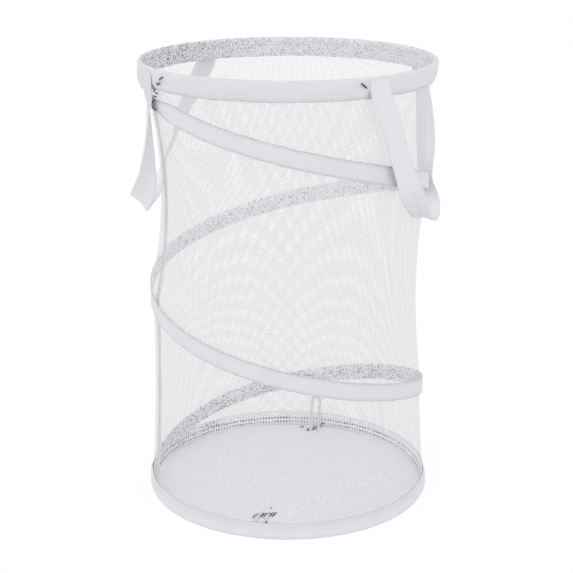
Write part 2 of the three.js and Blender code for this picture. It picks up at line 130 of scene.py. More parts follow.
# Collapse: how far the rim comes down, and the share of the height that is left then
TRAVEL = next(joint for joint in frame["joints"] if joint["name"] == "collapse")["range_m"][1]
COLLAPSED_SHARE = 1 - TRAVEL / RIM_EDGE


class Signal:
    """A number that varies over a surface, and takes plain arithmetic."""

    def __init__(self, nodes, socket):
        self.nodes, self.socket = nodes, socket

    def _math(self, operation, *terms, clamp=False):
        node = self.nodes.node(
            "ShaderNodeMath", dict(enumerate(terms)), operation=operation, use_clamp=clamp
        )
        return Signal(self.nodes, node.outputs[0])

    def __add__(self, other):
        return self._math("ADD", self, other)

    __radd__ = __add__

    def __sub__(self, other):
        return self._math("SUBTRACT", self, other)

    def __rsub__(self, other):
        return self._math("SUBTRACT", other, self)

    def __mul__(self, other):
        return self._math("MULTIPLY", self, other)

    __rmul__ = __mul__

    def __truediv__(self, other):
        return self._math("DIVIDE", self, other)

    def fract(self):
        return self._math("FRACT", self)

    def floor(self):
        return self._math("FLOOR", self)

    def abs(self):
        return self._math("ABSOLUTE", self)

    def sin(self):
        return self._math("SINE", self)

    def min(self, other):
        return self._math("MINIMUM", self, other)

    def max(self, other):
        return self._math("MAXIMUM", self, other)

    def modulo(self, other):
        return self._math("MODULO", self, other)

    def clamped(self):
        return self._math("ADD", self, 0.0, clamp=True)

    def rise(self, low, high):
        """0 below low and 1 above high, eased in between."""
        node = self.nodes.node(
            "ShaderNodeMapRange",
            {"Value": self, "From Min": low, "From Max": high},
            interpolation_type="SMOOTHSTEP",
        )
        return Signal(self.nodes, node.outputs[0])

    def near(self, middle, reach, soft):
        """1 within reach of the middle value and 0 beyond it."""
        return 1 - (self - middle).abs().rise(reach, reach + soft)


class Nodes:
    """The nodes of a material or of the world."""

    def __init__(self, tree):
        self.tree = tree
        tree.nodes.clear()

    def node(self, kind, values=None, **settings):
        """Any node: its settings first, then the values or links of its sockets."""
        node = self.tree.nodes.new(kind)
        for setting, value in settings.items():
            setattr(node, setting, value)
        for socket, value in (values or {}).items():
            self.feed(node.inputs[socket], value)
        return node

    def feed(self, socket, value):
        if isinstance(value, Signal):
            value = value.socket
        if isinstance(value, bpy.types.NodeSocket):
            self.tree.links.new(value, socket)
        else:
            socket.default_value = value

    def looked_at(self):
        """1 for what the eye sees, also in a shiny surface, and 0 for what only lights the hamper."""
        path = self.node("ShaderNodeLightPath")
        camera, glossy, through = (
            Signal(self, path.outputs[f"Is {kind} Ray"]) for kind in ("Camera", "Glossy", "Transmission")
        )
        return camera.max(glossy).max(through)


class Finish(Nodes):
    """A material, made from nodes."""

    def __init__(self, name, roughness=0.85, sheen=0.0, metallic=0.0):
        self.material = bpy.data.materials.new(name)
        self.material.use_nodes = True
        super().__init__(self.material.node_tree)
        self.shader = self.node(
            "ShaderNodeBsdfPrincipled",
            {"Roughness": roughness, "Sheen Weight": sheen, "Metallic": metallic},
        )
        self.output = self.node("ShaderNodeOutputMaterial", {0: self.shader.outputs[0]})

    def cloth_plane(self):
        """Distance along and across the cloth, in millimetres, from its UV map."""
        coordinates = self.node("ShaderNodeTexCoord")
        scaled = self.node(
            "ShaderNodeVectorMath",
            {0: coordinates.outputs["UV"], 1: (1000.0, 1000.0, 0.0)},
            operation="MULTIPLY",
        )
        parts = self.node("ShaderNodeSeparateXYZ", {0: scaled.outputs[0]})
        return Signal(self, parts.outputs[0]), Signal(self, parts.outputs[1])

    def mottle(self, scale, detail=3.0, stretch=(1, 1, 1)):
        """Uneven patches from 0 to 1, so many to the metre."""
        coordinates = self.node("ShaderNodeTexCoord")
        placed = self.node(
            "ShaderNodeMapping", {"Vector": coordinates.outputs["Object"], "Scale": stretch}
        )
        noise = self.node(
            "ShaderNodeTexNoise", {"Vector": placed.outputs[0], "Scale": scale, "Detail": detail}
        )
        return Signal(self, noise.outputs[0])

    def blend(self, share, first, second):
        """The first colour where the share is 0 and the second where it is 1."""
        return self.node("ShaderNodeMix", {0: share, 6: first, 7: second}, data_type="RGBA").outputs[2]

    def colour(self, value):
        self.feed(self.shader.inputs["Base Color"], value)

    def rough(self, value):
        self.feed(self.shader.inputs["Roughness"], value)

    def relief(self, height):
        """Height in millimetres."""
        bump = self.node("ShaderNodeBump", {"Height": height, "Distance": 0.001})
        self.feed(self.shader.inputs["Normal"], bump.outputs[0])


class Cloth(Finish):
    """Woven cloth, which takes its sewing, borders and net pattern one by one."""

    def __init__(self, name, colour, pitch=0.45, grain=1.0, uneven=1.0):
        super().__init__(name, roughness=0.88, sheen=0.05)
        self.paint = colour
        self.along, self.across = self.cloth_plane()
        weave = plain_weave(self.along, self.across, pitch)
        tone = self.mottle(38.0) * 0.6 + self.mottle(210.0, 2.0) * 0.3 + weave * 0.1 * grain
        low, high = 1 - 0.045 * uneven, 1 + 0.035 * uneven
        self.look = self.blend(tone.clamped(), darker(colour, low), darker(colour, high))
        self.height = weave * 0.09 * grain + self.mottle(120.0, 2.0) * 0.22 * uneven

    def band(self, low, high, soft=0.4):
        """1 between two lines across the cloth and 0 beyond them."""
        return self.across.rise(low - soft, low + soft) * (1 - self.across.rise(high - soft, high + soft))

    def towards(self, where, share):
        """Brings the look towards a share of the cloth's own colour."""
        self.look = self.blend(where, self.look, darker(self.paint, share))

    def sew(self, *lines):
        """Rows of small stitches, sunk a little into the cloth."""
        for line in lines:
            stitches = stitch_row(self.along, self.across, line)
            shaded_groove = self.across.near(line, 0.35, 0.9)
            # Painted shade in the sunk groove of each row
            self.towards(shaded_groove * 0.10, 0.6)
            self.towards(stitches * 0.5, 1.04)
            self.height = self.height + stitches * 0.2 - shaded_groove * 0.25

    def hem(self, *lines, strength=0.3):
        """Painted shade: a thin darker line along an edge, broken here and there."""
        broken_in_places = self.mottle(330.0, 2.0).rise(0.34, 0.6)
        for line in lines:
            self.towards(self.across.near(line, 0.45, 0.6) * (0.35 + broken_in_places * 0.65) * strength, 0.35)

    def paint_net_shade(self, where, strength, pale, grain=620.0):
        """Painted shade where net lies over the inner side of the cloth: dark specks and the net's hexagons,
        darkest in the holes. The pale share first makes the inner side lighter, as painted light.
        """
        opening = net_opening(self.along, self.across)
        specks = self.mottle(grain, 3.0).rise(0.52, 0.58)
        patches = self.mottle(75.0, 3.0).rise(0.34, 0.58)
        share = (opening.rise(0.02, 0.14) * 0.22 + specks * 0.78) * (0.62 + patches * 0.38)
        # Painted light: the inner side made lighter by the pale share
        self.towards(where, pale)
        # Painted shade of the net: dark specks and hexagons
        self.towards(where * strength * share, 0.03)
        self.height = self.height + where * (1 - opening.rise(-0.02, 0.04)) * 0.22

    def shaded_needle_holes(self, line, strength, pitch=4.4):
        """A row of needle holes painted as dark dots of shade, stretched more in some places than in others.
        """
        stretched = self.mottle(40.0, 2.0).rise(0.25, 0.55)
        dots = ((self.along / pitch).fract() - 0.5).abs().rise(0.24, 0.30)
        holes = self.across.near(line, 1.05, 0.4) * dots
        self.towards(holes * (0.45 + stretched * 0.55) * strength, 0.004)
        self.height = self.height - holes * 0.2

    def finished(self):
        self.colour(self.look)
        self.rough(0.80 + self.mottle(160.0, 2.0) * 0.14)
        self.relief(self.height)
        return self.material


def shade(red, green, blue):
    """A colour as a picture shows it, from 0 to 255, made linear."""
    parts = [value / 255 for value in (red, green, blue)]
    linear = [p / 12.92 if p <= 0.04045 else ((p + 0.055) / 1.055) ** 2.4 for p in parts]
    return (*linear, 1.0)


def darker(colour, share):
    return (*(value * share for value in colour[:3]), 1.0)


def plain_weave(along, across, pitch):
    """Height of a plain weave, from 0 to 1: every thread goes over one and under the next."""
    turn = math.pi / pitch
    warp, weft = (along * turn).sin().abs(), (across * turn).sin().abs()
    over = ((along / pitch).floor() + (across / pitch).floor()).modulo(2.0).abs()
    return over * warp + (1 - over) * weft


def net_opening(along, across):
    """Above 0 in a hole and below 0 on a thread, as a share of the pitch. The holes are hexagons in
    staggered rows, with stout upright sides and fine slanting ones."""

    def hole(shift):
        x = ((along / NET_PITCH + shift).fract() - 0.5).abs()
        y = ((across / (NET_PITCH * math.sqrt(3)) + shift).fract() - 0.5).abs()
        return (0.5 - UPRIGHT_SHARE - x).min(0.5 - SLANTING_SHARE - (x * 0.5 + y * 1.5))

    return hole(0.0).max(hole(0.5))


def stitch_row(along, across, line, pitch=2.6, thread=0.42):
    """1 on the stitches of a sewn row and 0 off them."""
    dash = 1 - ((along / pitch).fract() - 0.5).abs().rise(0.34, 0.42)
    return across.near(line, thread * 0.5, thread * 0.4) * dash


def net_cloth(name, colour):
    """Open net. The threads are opaque and the holes are clear."""
    finish = Finish(name, roughness=0.62)
    along, across = finish.cloth_plane()
    opening = net_opening(along, across)
    finish.feed(finish.shader.inputs["Alpha"], 1 - opening.rise(-0.012, 0.012))
    tone = finish.mottle(60.0) * 0.5 + finish.mottle(900.0, 1.0) * 0.5
    finish.colour(finish.blend(tone, darker(colour, 0.92), darker(colour, 1.04)))
    finish.rough(0.55 + tone * 0.14)
    finish.relief(opening * -1.5 + ((along + across) * (2 * math.pi / 0.5)).sin() * 0.02)
    return finish.material


def seam_cloth(name, colour):
    """Net folded over on itself, sewn down both sides, with a rolled edge towards the front."""
    width = SEAM_WIDTH * 1000
    back_edge, back_row, fold, front_row, front_edge = 0.6, 2.6, 5.2, width - 2.4, width - 0.6
    cloth = Cloth(name, colour)
    along, across = cloth.along, cloth.across
    under = net_opening(across, along)
    over = net_opening(across + 1.2, along * 0.98 + 0.9)
    threads = 1 - under.min(over).rise(-0.03, 0.02)
    folds = across.near(front_edge, 0.45, 0.4).max(across.near(fold, 0.2, 0.3) * 0.75)
    cloth.sew(back_row, front_row)
    # Painted shade: darker lines along the rolled edge, the back edge and the fold
    cloth.towards(across.near(front_edge, 0.3, 0.4) * 0.5, 0.5)
    cloth.towards(across.near(back_edge, 0.2, 0.4) * 0.5, 0.5)
    cloth.towards(across.near(fold, 0.2, 0.4) * 0.25, 0.7)
    sewn = stitch_row(along, across, back_row).max(stitch_row(along, across, front_row))
    cloth.feed(cloth.shader.inputs["Alpha"], threads.max(folds).max(sewn).clamped())
    return cloth.finished()


def webbing_cloth(name, colour, light_and_shade_steps):
    """Flat woven webbing: ribs across it, and a finer selvedge along both edges. Past some places on its
    length its colour steps to a share of itself, each given with its reach: painted light and shade along
    the strap."""
    finish = Finish(name, roughness=0.82, sheen=0.04)
    along, across = finish.cloth_plane()
    width = STRAP_WIDTH * 1000
    rib = (along * (math.pi / 1.1) + (across * (math.pi / 0.9)).sin() * 0.5).sin().abs()
    weave = plain_weave(along, across, 0.9)
    selvedge = (1 - across.rise(1.2, 1.7)).max(across.rise(width - 1.7, width - 1.2))
    height = (rib * 0.6 + weave * 0.4) * 0.12 * (1 - selvedge * 0.6)
    height = height - across.near(1.5, 0.15, 0.3) * 0.15 - across.near(width - 1.5, 0.15, 0.3) * 0.15
    tone = (finish.mottle(30.0) * 0.55 + finish.mottle(190.0, 2.0) * 0.28 + rib * 0.17).clamped()
    low, high = 0.955, 1.03
    look = finish.blend(tone, darker(colour, low), darker(colour, high))
    for start, end, share in light_and_shade_steps:
        relit = finish.blend(tone, darker(colour, low * share), darker(colour, high * share))
        look = finish.blend(along.rise(start, end), look, relit)
    look = finish.blend(selvedge * 0.12, look, darker(colour, 0.72))
    finish.colour(look)
    finish.rough(0.76 + finish.mottle(120.0, 2.0) * 0.14)
    finish.relief(height + finish.mottle(70.0, 2.0) * 0.25)
    return finish.material


def elastic_cloth(name, colour):
    """Narrow elastic: ribs along it, tight bumps across it and dark specks."""
    finish = Finish(name, roughness=0.8)
    along, across = finish.cloth_plane()
    rib = (across * (math.pi / 0.7)).sin().abs()
    cross = (along * (math.pi / 0.8)).sin().abs()
    specks = finish.mottle(520.0, 2.0).rise(0.5, 0.62)
    tone = (rib * 0.5 + cross * 0.2 + finish.mottle(150.0) * 0.3).clamped()
    look = finish.blend(tone, darker(colour, 0.88), darker(colour, 1.04))
    finish.colour(finish.blend(specks * 0.35, look, darker(colour, 0.5)))
    finish.rough(0.7 + cross * 0.15)
    finish.relief(rib * 0.2 + cross * 0.1)
    return finish.material


def plain_finish(name, colour, grain, low=0.9, high=1.04, roughness=0.78):
    """Thread, piping or cap: one colour with a fine grain in it."""
    finish = Finish(name)
    tone = finish.mottle(grain, 2.0)
    patches = finish.mottle(grain / 7)
    finish.colour(finish.blend(tone * 0.6 + patches * 0.4, darker(colour, low), darker(colour, high)))
    finish.rough(roughness + tone * 0.16)
    finish.relief(tone * 0.1)
    return finish.material


def steel_finish(name):
    """Drawn spring wire with fine lines round it and a trace of oil."""
    finish = Finish(name, metallic=1.0)
    lines = finish.mottle(900.0, 3.0, (1, 1, 6))
    finish.colour(finish.blend(finish.mottle(45.0), shade(150, 153, 158), shade(196, 199, 203)))
    finish.rough(0.26 + lines * 0.2)
    finish.relief(lines * 0.02)
    return finish.material


# Curves and cloth

def through(stops, count):
    """Evenly spaced points on a smooth curve through the stops. Their first three numbers are a place,
    and any others are carried along."""
    stops = np.array(stops, float)
    padded = np.vstack([2 * stops[0] - stops[1], stops, 2 * stops[-1] - stops[-2]])
    fine = []
    for a, b, c, d in zip(padded, padded[1:], padded[2:], padded[3:]):
        t = np.linspace(0, 1, 24, endpoint=False)[:, None]
        fine.append(0.5 * (2 * b + (c - a) * t + (2 * a - 5 * b + 4 * c - d) * t**2
                           + (3 * b - a - 3 * c + d) * t**3))
    line = np.vstack([*fine, stops[-1:]])
    run = np.r_[0, np.cumsum(np.linalg.norm(np.diff(line[:, :3], axis=0), axis=1))]
    at = np.linspace(0, run[-1], count)
    return np.stack([np.interp(at, run, axis) for axis in line.T], -1)


def length_of(line):
    return float(np.linalg.norm(np.diff(line, axis=0), axis=1).sum())


def read_between(values, spot):
    """The rows of an array, read at places between them."""
    return np.stack([np.interp(spot, np.arange(len(values)), axis) for axis in values.T], -1)


def made_unit(vectors):
    return vectors / np.linalg.norm(vectors, axis=-1, keepdims=True)


def eased(value, low, high):
    share = np.clip((value - low) / (high - low), 0, 1)
    return share * share * (3 - 2 * share)


def hump(value, middle, reach):
    """1 at the middle, falling smoothly to 0 on both sides."""
    return np.exp(-(((value - middle) / reach) ** 2))


def on_ring(radius, angle, height):
    return np.stack([radius * np.cos(angle), radius * np.sin(angle), height + 0 * angle], -1)


def on_hamper(radius, degrees, height):
    """A place given in millimetres and degrees."""
    return on_ring(radius / 1000, np.array(math.radians(degrees)), height / 1000)


def ripple(value, *waves):
    """Sum of waves, each of so many turns over the value, a start and a size."""
    return sum(size * np.sin(turns * value + start) for turns, start, size in waves)


def deselect():
    bpy.ops.object.select_all(action="DESELECT")


def choose(piece):
    deselect()
    piece.select_set(True)
    bpy.context.view_layer.objects.active = piece


@contextmanager
def editing(piece):
    """Edit mode, with the whole piece selected."""
    choose(piece)
    bpy.ops.object.mode_set(mode="EDIT")
    bpy.ops.mesh.select_all(action="SELECT")
    yield
    bpy.ops.object.mode_set(mode="OBJECT")


def points_of(mesh):
    flat = np.zeros(len(mesh.vertices) * 3)
    mesh.vertices.foreach_get("co", flat)
    return flat.reshape(-1, 3)


def lay_out(mesh, flat):
    """Writes each point's place on the flat cloth, in metres, to the UV map."""
    corner = np.zeros(len(mesh.loops), int)
    mesh.loops.foreach_get("vertex_index", corner)
    layer = mesh.uv_layers.active or mesh.uv_layers.new(name="cloth")
    layer.data.foreach_set("uv", flat[corner].ravel())


def cloth_of(name, columns, rows, place, size, closed=False, spacing=None):
    """A grid whose points go where place(along, across) says, both from 0 to 1.
    Its UV map runs in metres, and a closed one is a ring whose ends are sewn together.
    Spacing moves the rows closer together where a fold needs them."""
    deselect()
    bpy.ops.mesh.primitive_grid_add(x_subdivisions=columns, y_subdivisions=rows, size=1)
    piece = bpy.context.object
    piece.name = piece.data.name = name
    mesh = piece.data
    along, across = (points_of(mesh)[:, :2] + 0.5).T
    if spacing:
        across = spacing(across)
    lay_out(mesh, np.stack([along * size[0], across * size[1]], -1))
    mesh.vertices.foreach_set("co", place(along, across).ravel())
    mesh.update()
    if closed:
        with editing(piece):
            bpy.ops.mesh.remove_doubles(threshold=SAME_POINT)
    return piece


def finished_with(piece, kind, **settings):
    choose(piece)
    modifier = piece.modifiers.new(kind.lower(), kind)
    for setting, value in settings.items():
        setattr(modifier, setting, value)
    bpy.ops.object.modifier_apply(modifier=modifier.name)


def thicken(piece, thickness):
    finished_with(piece, "SOLIDIFY", thickness=thickness, offset=0.0, use_even_offset=True)


def soften(piece, angle=50):
    choose(piece)
    bpy.ops.object.shade_smooth_by_angle(angle=math.radians(angle))


def dress(piece, body, material):
    piece.data.materials.clear()
    piece.data.materials.append(material)
    if body:
        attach(piece, body)


def press_with_collapse(piece):
    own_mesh(piece)


def round_rod(name, line, radius, rounded=False):
    """A round rod that follows a line, made from a curve."""
    deselect()
    curve = bpy.data.curves.new(name, "CURVE")
    curve.dimensions = "3D"
    curve.bevel_depth = radius
    curve.bevel_resolution = 3
    curve.use_fill_caps = True
    spline = curve.splines.new("POLY")
    spline.points.add(len(line) - 1)
    for point, place in zip(spline.points, line):
        point.co = (*place, 1.0)
    if rounded:
        spline.points[0].radius = spline.points[-1].radius = END_SHARE
    rod = bpy.data.objects.new(name, curve)
    bpy.context.scene.collection.objects.link(rod)
    choose(rod)
    bpy.ops.object.convert(target="MESH")
    soften(rod)
    return rod


# Spiral and wall

def spiral_height(travel):
    return SPIRAL_TOP + (SPIRAL_BOTTOM - SPIRAL_TOP) * travel / SPIRAL_TRAVEL


def spiral_face(travel):
    """Radius of the tape's outer face, which swings to the hoops at both ends."""
    top = SPIRAL_TOP_FACE + (SPIRAL_FACE - SPIRAL_TOP_FACE) * eased(travel, 0, SPIRAL_BLEND)
    low = eased(SPIRAL_TRAVEL - travel, 0, SPIRAL_BLEND)
    return SPIRAL_BOTTOM_FACE + (top - SPIRAL_BOTTOM_FACE) * low


def tail_share(travel):
    """0 along the wire and 1 where only the empty tail of the tape is left."""
    return eased(travel, SPIRAL_TRAVEL + 0.05, SPIRAL_TRAVEL + 0.22)


def waist_share(height):
    """How far the net is drawn in between two holds, as a share of their distance: little low down."""
    return 0.01 + 0.032 * eased(height / HEIGHT, 0.28, 0.6)


def wall_radius(angle, height):
    """Radius of the net: flat behind the tapes and drawn in between them."""
    angle, height = np.broadcast_arrays(angle, height)
    low_z, low_r = np.full(angle.shape, BASE_EDGE), np.full(angle.shape, BASE_NECK)
    high_z, high_r = np.full(angle.shape, RIM_EDGE), np.full(angle.shape, RIM_NECK)
    held = np.zeros(angle.shape, bool)
    radius = np.zeros(angle.shape)
    first = (angle - SPIRAL_START) % (2 * math.pi)
    for turn in (-1, 0, 1, 2):
        travel = first + 2 * math.pi * turn
        there = (travel >= -0.02) & (travel <= SPIRAL_TRAVEL + SPIRAL_TAIL)
        behind = WALL_BEHIND + (WALL_BEHIND_TAIL - WALL_BEHIND) * tail_share(travel)
        middle, face = spiral_height(travel), spiral_face(travel) - behind
        below = there & (middle + SPIRAL_HALF < height) & (middle > low_z)
        low_z = np.where(below, middle + SPIRAL_HALF, low_z)
        low_r = np.where(below, face, low_r)
        above = there & (middle - SPIRAL_HALF > height) & (middle - SPIRAL_HALF < high_z)
        high_z = np.where(above, middle - SPIRAL_HALF, high_z)
        high_r = np.where(above, face, high_r)
        inside = there & (abs(height - middle) <= SPIRAL_HALF)
        held |= inside
        radius = np.where(inside, face, radius)
    gap = np.maximum(high_z - low_z, 1e-4)
    share = np.clip((height - low_z) / gap, 0, 1)
    middle = (low_z + high_z) / 2
    waist = waist_share(middle) * gap * 4 * share * (1 - share)
    pull = SEAM_PULL * hump(angle, SEAM_ANGLE - PULL_ASIDE, PULL_REACH) * eased(middle, *PULL_HEIGHTS)
    waist = waist * (1 + pull)
    free = low_r + (high_r - low_r) * share - waist
    return np.where(held, radius, free)


def net_wall():
    rows = 176
    heights = np.linspace(NET_LOW, NET_HIGH, rows + 1)
    angles = np.linspace(0, 2 * math.pi, COLUMNS + 1)
    grid = wall_radius(angles[None, :-1], heights[:, None])
    for _ in range(2):
        grid = (np.roll(grid, 1, 1) + 2 * grid + np.roll(grid, -1, 1)) / 4
        grid[1:-1] = (grid[:-2] + 2 * grid[1:-1] + grid[2:]) / 4
    round_once = angles[:-1]
    open_part = eased(heights, BASE_EDGE, 0.05) * (1 - eased(heights, 0.49, RIM_EDGE))
    pucker = np.sin(round_once * 74) * hump(round_once, SEAM_ANGLE, 0.16) * 0.0006
    pucker = pucker + ripple(round_once, (23, 0.4, 0.00022), (37, 2.0, 0.00016))
    grid = grid + open_part[:, None] * pucker[None, :]
    grid = np.concatenate([grid, grid[:, :1]], 1)

    def place(along, across):
        angle = SEAM_ANGLE + along * 2 * math.pi
        column = (angle % (2 * math.pi)) / (2 * math.pi) * COLUMNS
        row = across * rows
        c, r = np.floor(column).astype(int) % COLUMNS, np.minimum(np.floor(row).astype(int), rows - 1)
        beside, above = column - np.floor(column), row - r
        low = grid[r, c] * (1 - beside) + grid[r, c + 1] * beside
        high = grid[r + 1, c] * (1 - beside) + grid[r + 1, c + 1] * beside
        height = heights[0] + (heights[-1] - heights[0]) * across
        return on_ring(low * (1 - above) + high * above, angle, height)

    size = (2 * math.pi * NET_RADIUS, heights[-1] - heights[0])
    wall = cloth_of("mesh_wall_net", COLUMNS, rows, place, size)
    soften(wall, 80)
    dress(wall, "base", net_cloth("open net", shade(223, 223, 225)))
    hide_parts("mesh_wall")
    press_with_collapse(wall)


def close_at_edges(across):
    """Rows that crowd at both edges of a flat tube of tape."""
    side = np.floor(np.minimum(across, 0.999) * 2)
    return side / 2 + (1 - np.cos((across * 2 - side) * math.pi)) / 4


def spiral_tape():
    """Two tapes sewn together along both edges, with the wire in the pocket between them."""
    steps = 500
    travels = np.linspace(-SPIRAL_LEAD, SPIRAL_TRAVEL + SPIRAL_TAIL, steps + 1)
    slope = (SPIRAL_TOP - SPIRAL_BOTTOM) / (SPIRAL_TRAVEL * SPIRAL_FACE)
    run = (travels[-1] - travels[0]) * SPIRAL_FACE * math.hypot(1, slope)

    def place(along, across):
        travel = travels[0] + along * (travels[-1] - travels[0])
        front = across < 0.5
        x = np.where(front, across * 4 - 1, 3 - across * 4)
        tail = tail_share(travel)
        swell, hem = hump(x, 0, 0.55), eased(abs(x), 0.965, 1.0)
        front_depth = (0.0006 + (1 - swell) * 0.0002) * (1 - tail) + 0.0001 * tail
        back_depth = (0.0037 - (1 - swell) * 0.0016) * (1 - tail) + 0.0010 * tail
        depth = np.where(front, front_depth, back_depth)
        depth = depth + ((front_depth + back_depth) / 2 - depth) * hem
        rumple = ripple(travel, (29, 0.3, 0.00016), (47, 1.1, 0.00012), (83, 2.0, 0.00006))
        depth = depth + rumple * (0.4 + 0.6 * abs(x)) * (1 - tail)
        widened = eased(travel, 0.0, WIDENING)
        half = SPIRAL_HALF * (0.55 + 0.45 * widened)
        middle = spiral_height(travel) - 0.003 * (1 - widened)
        low, high = np.maximum(middle - half, SPIRAL_LOWEST), middle + half
        edge = ripple(travel, (31, 0.0, 0.00014), (53, 0.7, 0.00010)) * (1 - tail)
        height = low + (high - low) * (x + 1) / 2 + x * edge
        face = spiral_face(np.clip(travel, 0, SPIRAL_TRAVEL))
        return on_ring(face - depth, SPIRAL_START + travel, height)

    size = (run, 4 * SPIRAL_HALF)
    tape = cloth_of("spiral_tape", steps, 36, place, size, spacing=close_at_edges)
    with editing(tape):
        bpy.ops.mesh.remove_doubles(threshold=SAME_POINT)
        bpy.ops.mesh.fill_holes(sides=0)
        bpy.ops.mesh.normals_make_consistent(inside=False)
    soften(tape, 60)
    width = 2 * SPIRAL_HALF * 1000
    cloth = Cloth("spiral tape cloth", shade(222, 221, 227))
    cloth.sew(2.3, width - 2.3)
    # Painted shade along the edges of the outer and the inner face
    cloth.hem(0.4, width - 0.4, strength=0.5)
    cloth.hem(width + 0.6, 2 * width - 0.6, strength=0.8)
    # Painted shade of the net on the inner face, stronger on the lower turns, and the inner face made much
    # lighter as painted light
    deep = (cloth.along / (run * 1000)).rise(0.25, 1.0)
    cloth.paint_net_shade(cloth.band(width, 2 * width), 0.6 + deep * 0.4, 1.70, grain=400.0)
    dress(tape, "base", cloth.finished())
    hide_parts("spiral_sleeve")
    press_with_collapse(tape)


def spiral_wire():
    """The round wire in the spiral tape, and the caps on its two ends."""
    travel = np.linspace(-WIRE_BARE, SPIRAL_TRAVEL + WIRE_BARE, 420)
    face = spiral_face(np.clip(travel, 0, SPIRAL_TRAVEL))
    line = on_ring(face - WIRE_DEPTH, SPIRAL_START + travel, spiral_height(travel))
    wire = round_rod("spiral_wire_rod", line, WIRE_RADIUS)
    dress(wire, "base", steel_finish("spiral wire steel"))
    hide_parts("spiral_wire")
    press_with_collapse(wire)
    for name, part in (("top", line[:10]), ("bottom", line[::-1][:10])):
        tip = part[0] + made_unit(part[0] - part[1]) * CAP_END
        cap = round_rod(f"spiral_{name}_cap", np.vstack([tip, part]), CAP_RADIUS, rounded=True)
        cap_finish = plain_finish(f"{name} cap plastic", shade(232, 232, 234), 1500.0, roughness=0.38)
        dress(cap, "base", cap_finish)
        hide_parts(f"spiral_wire_{name}_tip")
        press_with_collapse(cap)


# Folded sleeves of the two hoops: radius, and distance from the hamper's end

RIM_PROFILE = [
    (0.1732, 0.0244), (0.1731, 0.018), (0.1733, 0.0105), (0.17365, 0.0062), (0.1739, 0.00325),
    (0.17475, 0.00125), (0.17675, 0.0004), (0.17875, 0.00125), (0.1796, 0.00325), (0.1797, 0.0065),
    (0.1794, 0.0105), (0.1789, 0.0145), (0.1775, 0.019), (0.1745, 0.0244),
]
BASE_PROFILE = [
    (0.17575, 0.0199), (0.1752, 0.0150), (0.1746, 0.0100), (0.1740, 0.0062), (0.1739, 0.00325),
    (0.17475, 0.00125), (0.17675, 0.0004), (0.17875, 0.00125), (0.1796, 0.00325), (0.1797, 0.0065),
    (0.1795, 0.0105), (0.1788, 0.0150), (0.1769, 0.0199),
]

# Where each sleeve is stretched: degrees round, reach in degrees, and how far its outside edge stands
# off and hangs on
RIM_STRETCH = (204, 10, 0.0018, 0.008)
BASE_STRETCH = (203, 9, 0.0006, 0.0025)


def folded_sleeve(name, node, body, profile, top, stretched):
    """Tape folded round a hoop, from the inside edge over the hoop to the outside edge. It is stretched
    at one place. The rim's is measured down from the top, and the base's up from the floor."""
    rows = 56
    line = through([(r, d, 0.0) for r, d in profile], rows + 1)
    size = (2 * math.pi * RADIUS, length_of(line))

    def place(along, across):
        angle = along * 2 * math.pi
        r, d = read_between(line[:, :2], across * rows).T
        loose = eased(d, 0.004, profile[0][1])
        outer = np.where(across > 0.5, 1.0, -1.0)
        wave = ripple(angle, (17, 0.5, 0.00032), (29, 1.9, 0.0002), (61, 0.2, 0.0001))
        dip = hump(d, 0.0115, 0.0028) * 0.0006
        dip = dip * (0.55 + 0.45 * np.sin(3 * angle + 1.2 * outer + 0.6))
        r = r + loose * wave - outer * dip
        d = d + loose * ripple(angle, (13, 0.9, 0.00028), (31, 0.4, 0.00015)) * 0.8
        middle, reach, off, on = stretched
        near = hump(np.degrees(angle), middle, reach) * (across > 0.5)
        r, d = r + near * off * eased(d, 0.006, 0.017), d + near * on * eased(d, 0.006, profile[0][1])
        return on_ring(r, angle, top - d if top > 0 else d)

    piece = cloth_of(name, COLUMNS, rows, place, size, closed=True)
    if top > 0:
        with editing(piece):
            bpy.ops.mesh.flip_normals()
    thicken(piece, TAPE)
    soften(piece)
    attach(piece, body)
    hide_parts(node)
    return piece, size[1] * 1000


def round_about(cloth, degrees, reach, soft):
    """1 round about a place on a hoop's sleeve, given in degrees, and 0 further off."""
    return cloth.along.near(math.radians(degrees) * RADIUS * 1000, reach, soft)


def rim_sleeve():
    piece, width = folded_sleeve(
        "rim_sleeve_cloth", "rim_sleeve", "rim", RIM_PROFILE, HEIGHT, RIM_STRETCH)
    cloth = Cloth("rim sleeve cloth", shade(221, 220, 226))
    cloth.sew(3.0, width - 3.0)
    # Painted shade along both free edges
    cloth.hem(0.4, strength=0.7)
    cloth.hem(width - 0.4, strength=0.55)
    # Painted shade of the net on the inner leg, stronger at the back, and the inner leg made lighter as
    # painted light
    strength = 0.55 + round_about(cloth, 175, 60.0, 160.0) * 0.45
    cloth.paint_net_shade(cloth.band(-1.0, 25.0), strength, 1.22)
    streaks = cloth.mottle(26.0, 2.0, (1, 1, 14)).rise(0.46, 0.62)
    cloth.towards(cloth.band(13.0, 20.0, 2.0) * streaks * 0.35, 0.7)
    cloth.towards(cloth.band(width - 14.0, width - 8.0, 2.5) * streaks * 0.16, 0.75)
    piece.data.materials.append(cloth.finished())


def base_sleeve():
    piece, width = folded_sleeve(
        "base_sleeve_cloth", "base_sleeve", "base", BASE_PROFILE, 0.0, BASE_STRETCH)
    cloth = Cloth("base sleeve cloth", shade(226, 225, 232))
    cloth.sew(width - 3.0)
    # Painted shade of the net on the inner leg, stronger at the back, and the inner leg made lighter as
    # painted light
    strength = 0.35 + round_about(cloth, 170, 60.0, 120.0) * 0.6
    cloth.paint_net_shade(cloth.band(0.4, 18.0), strength, 1.42, grain=420.0)
    # Rows of dark dots: painted shade in needle holes
    cloth.shaded_needle_holes(9.2, 1.0)
    cloth.shaded_needle_holes(14.6, 0.9)
    # Painted shade: the upper part of the outer leg darker, so the lower part looks lit by the white floor
    cloth.towards(cloth.across.rise(width - 13.0, width - 7.0) * 0.9, 0.95)
    piece.data.materials.append(cloth.finished())


# Handles: radius, degrees round, height and how far the webbing is turned edge out,
# down the leg at the lower angle and up the other one. Millimetres and degrees

